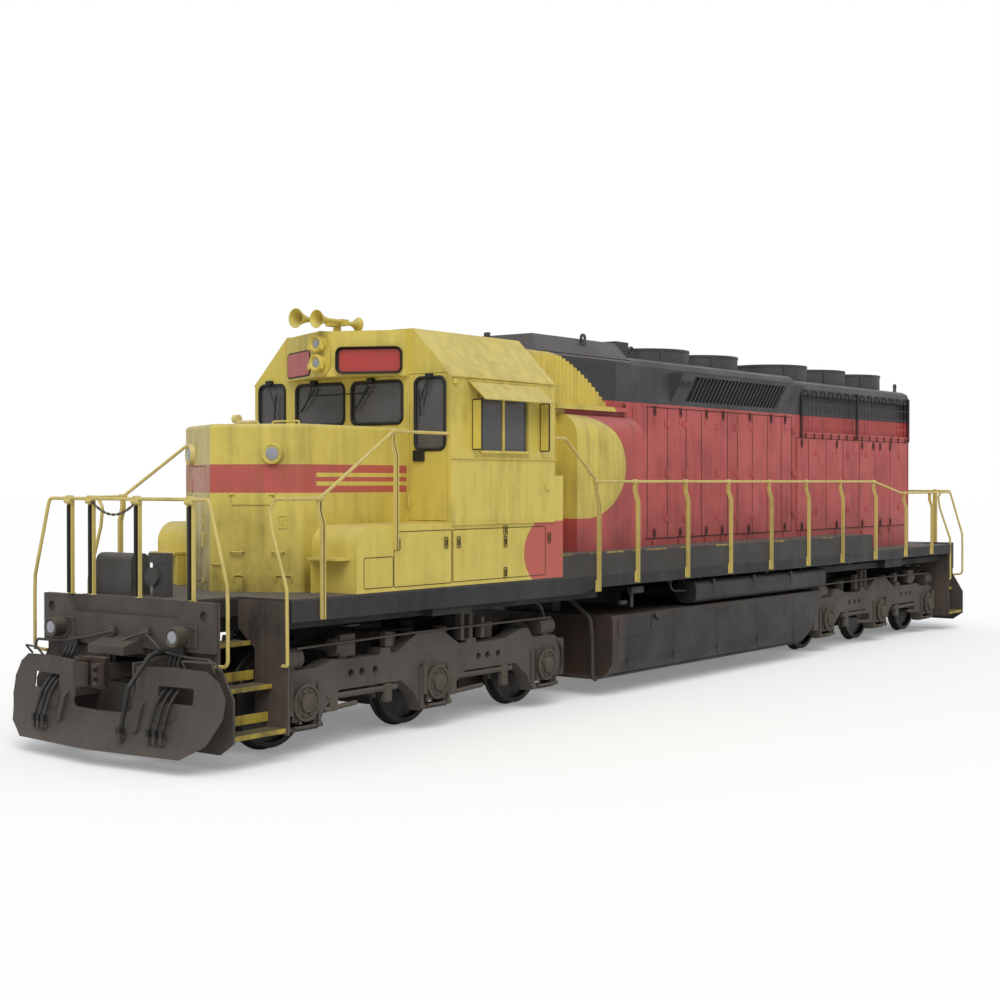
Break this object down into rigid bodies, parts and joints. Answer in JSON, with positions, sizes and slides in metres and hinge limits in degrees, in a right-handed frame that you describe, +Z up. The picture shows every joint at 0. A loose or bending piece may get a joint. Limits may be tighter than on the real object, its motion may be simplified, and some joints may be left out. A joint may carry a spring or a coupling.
{
  "type": "diesel locomotive",
  "caption": "Road-switcher diesel locomotive with a low nose, offset cab, long hood with roof fans, and two three-axle trucks.",
  "frame": {"origin": "on the floor under the wheel flanges, midway between the couplers and between the sides", "axes": "+X forward towards the cab end, +Y to the left, +Z up"},
  "size_m": [20.03, 3.566, 4.7649],
  "materials": {
    "dark_grey_paint": "matt, dusty",
    "glass": "clear",
    "grille_metal": "matt",
    "horn_metal": "weathered",
    "hose_rubber": "matt",
    "interior_paint": "satin",
    "lamp_metal": "polished",
    "pilot_paint": "matt, dusty",
    "red_paint": "satin",
    "seat_cloth": "woven",
    "truck_cast": "matt, dusty",
    "wheel_steel": "rolled tread, rusty sides",
    "yellow_paint": "satin"
  },
  "bodies": {
    "frame": {"air_reservoirs": "dark_grey_paint", "blower_hood": "red_paint", "brake_housing": "dark_grey_paint", "cab_floor": "yellow_paint", "cab_front_wall": "yellow_paint", "cab_glass": "glass", "cab_rear_wall": "yellow_paint", "cab_roof": "dark_grey_paint", "cab_seats": "seat_cloth", "cab_sides": "yellow_paint", "centre_plates": "dark_grey_paint", "centre_sill": "dark_grey_paint", "control_desk": "interior_paint", "cross_members": "dark_grey_paint", "draft_gear": "truck_cast", "end_hoses": "hose_rubber", "end_plates": "pilot_paint", "engine_block": "interior_paint", "engine_hood": "red_paint", "equipment_boxes": "yellow_paint", "fan_shrouds": "grille_metal", "fuel_tank": "dark_grey_paint", "handrails_end": "yellow_paint", "handrails_side": "yellow_paint", "hood_grilles": "grille_metal", "horn": "horn_metal", "lamps": "lamp_metal", "nose_hood": "yellow_paint", "number_box": "yellow_paint", "platform_boxes": "dark_grey_paint", "radiator_hood": "red_paint", "side_sills": "dark_grey_paint", "snow_plow": "pilot_paint", "steps": "pilot_paint", "walkways": "dark_grey_paint"},
    "cab_door_front_leaf": {"cab_door_front": "yellow_paint"},
    "cab_door_rear_leaf": {"cab_door_rear": "yellow_paint"},
    "coupler_front_body": {"coupler_front": "truck_cast"},
    "coupler_rear_body": {"coupler_rear": "truck_cast"},
    "fan_1_rotor": {"fan_1": "grille_metal"},
    "fan_2_rotor": {"fan_2": "grille_metal"},
    "fan_3_rotor": {"fan_3": "grille_metal"},
    "fan_4_rotor": {"fan_4": "grille_metal"},
    "fan_5_rotor": {"fan_5": "grille_metal"},
    "knuckle_front_jaw": {"knuckle_front": "truck_cast"},
    "knuckle_rear_jaw": {"knuckle_rear": "truck_cast"},
    "nose_door_leaf": {"nose_door": "yellow_paint"},
    "truck_front": {"truck_frame_front": "truck_cast", "truck_gear_front": "truck_cast"},
    "truck_rear": {"truck_frame_rear": "truck_cast", "truck_gear_rear": "truck_cast"},
    "axle_1": {"wheelset_1": "wheel_steel"},
    "axle_2": {"wheelset_2": "wheel_steel"},
    "axle_3": {"wheelset_3": "wheel_steel"},
    "axle_4": {"wheelset_4": "wheel_steel"},
    "axle_5": {"wheelset_5": "wheel_steel"},
    "axle_6": {"wheelset_6": "wheel_steel"}
  },
  "joints": [
    {"name": "truck_front_swivel", "type": "hinge", "parent": "frame", "child": "truck_front", "pos_m": [6.096, 0, 1.06], "axis": [0, 0, 1], "range_deg": [-6, 6]},
    {"name": "truck_rear_swivel", "type": "hinge", "parent": "frame", "child": "truck_rear", "pos_m": [-6.096, 0, 1.06], "axis": [0, 0, 1], "range_deg": [-6, 6]},
    {"name": "axle_1_roll", "type": "hinge", "parent": "truck_front", "child": "axle_1", "pos_m": [8.206, 0, 0.533], "axis": [0, 1, 0], "continuous": true},
    {"name": "axle_2_roll", "type": "hinge", "parent": "truck_front", "child": "axle_2", "pos_m": [6.096, 0, 0.533], "axis": [0, 1, 0], "continuous": true},
    {"name": "axle_3_roll", "type": "hinge", "parent": "truck_front", "child": "axle_3", "pos_m": [3.986, 0, 0.533], "axis": [0, 1, 0], "continuous": true},
    {"name": "axle_4_roll", "type": "hinge", "parent": "truck_rear", "child": "axle_4", "pos_m": [-3.986, 0, 0.533], "axis": [0, 1, 0], "continuous": true},
    {"name": "axle_5_roll", "type": "hinge", "parent": "truck_rear", "child": "axle_5", "pos_m": [-6.096, 0, 0.533], "axis": [0, 1, 0], "continuous": true},
    {"name": "axle_6_roll", "type": "hinge", "parent": "truck_rear", "child": "axle_6", "pos_m": [-8.206, 0, 0.533], "axis": [0, 1, 0], "continuous": true},
    {"name": "fan_1_spin", "type": "hinge", "parent": "frame", "child": "fan_1_rotor", "pos_m": [-0.32, 0, 4.55], "axis": [0, 0, 1], "continuous": true},
    {"name": "fan_2_spin", "type": "hinge", "parent": "frame", "child": "fan_2_rotor", "pos_m": [-1.82, 0, 4.55], "axis": [0, 0, 1], "continuous": true},
    {"name": "fan_3_spin", "type": "hinge", "parent": "frame", "child": "fan_3_rotor", "pos_m": [-4.24, 0, 4.55], "axis": [0, 0, 1], "continuous": true},
    {"name": "fan_4_spin", "type": "hinge", "parent": "frame", "child": "fan_4_rotor", "pos_m": [-5.74, 0, 4.55], "axis": [0, 0, 1], "continuous": true},
    {"name": "fan_5_spin", "type": "hinge", "parent": "frame", "child": "fan_5_rotor", "pos_m": [-7.24, 0, 4.55], "axis": [0, 0, 1], "continuous": true},
    {"name": "cab_door_front_swing", "type": "hinge", "parent": "frame", "child": "cab_door_front_leaf", "pos_m": [6.177, 0.93, 3.1], "axis": [0, 0, 1], "range_deg": [-90, 0]},
    {"name": "cab_door_rear_swing", "type": "hinge", "parent": "frame", "child": "cab_door_rear_leaf", "pos_m": [4.147, -0.975, 3.1], "axis": [0, 0, 1], "range_deg": [-90, 0]},
    {"name": "nose_door_swing", "type": "hinge", "parent": "frame", "child": "nose_door_leaf", "pos_m": [8.02445, -0.61406, 2.3], "axis": [0, 0, 1], "range_deg": [-110, 0]},
    {"name": "coupler_front_swing", "type": "hinge", "parent": "frame", "child": "coupler_front_body", "pos_m": [9.165, 0, 0.905], "axis": [0, 0, 1], "range_deg": [-8, 8]},
    {"name": "coupler_rear_swing", "type": "hinge", "parent": "frame", "child": "coupler_rear_body", "pos_m": [-9.165, 0, 0.905], "axis": [0, 0, 1], "range_deg": [-8, 8]},
    {"name": "knuckle_front_open", "type": "hinge", "parent": "coupler_front_body", "child": "knuckle_front_jaw", "pos_m": [9.915, -0.105, 0.905], "axis": [0, 0, 1], "range_deg": [-50, 0]},
    {"name": "knuckle_rear_open", "type": "hinge", "parent": "coupler_rear_body", "child": "knuckle_rear_jaw", "pos_m": [-9.915, 0.105, 0.905], "axis": [0, 0, 1], "range_deg": [-50, 0]}
  ]
}
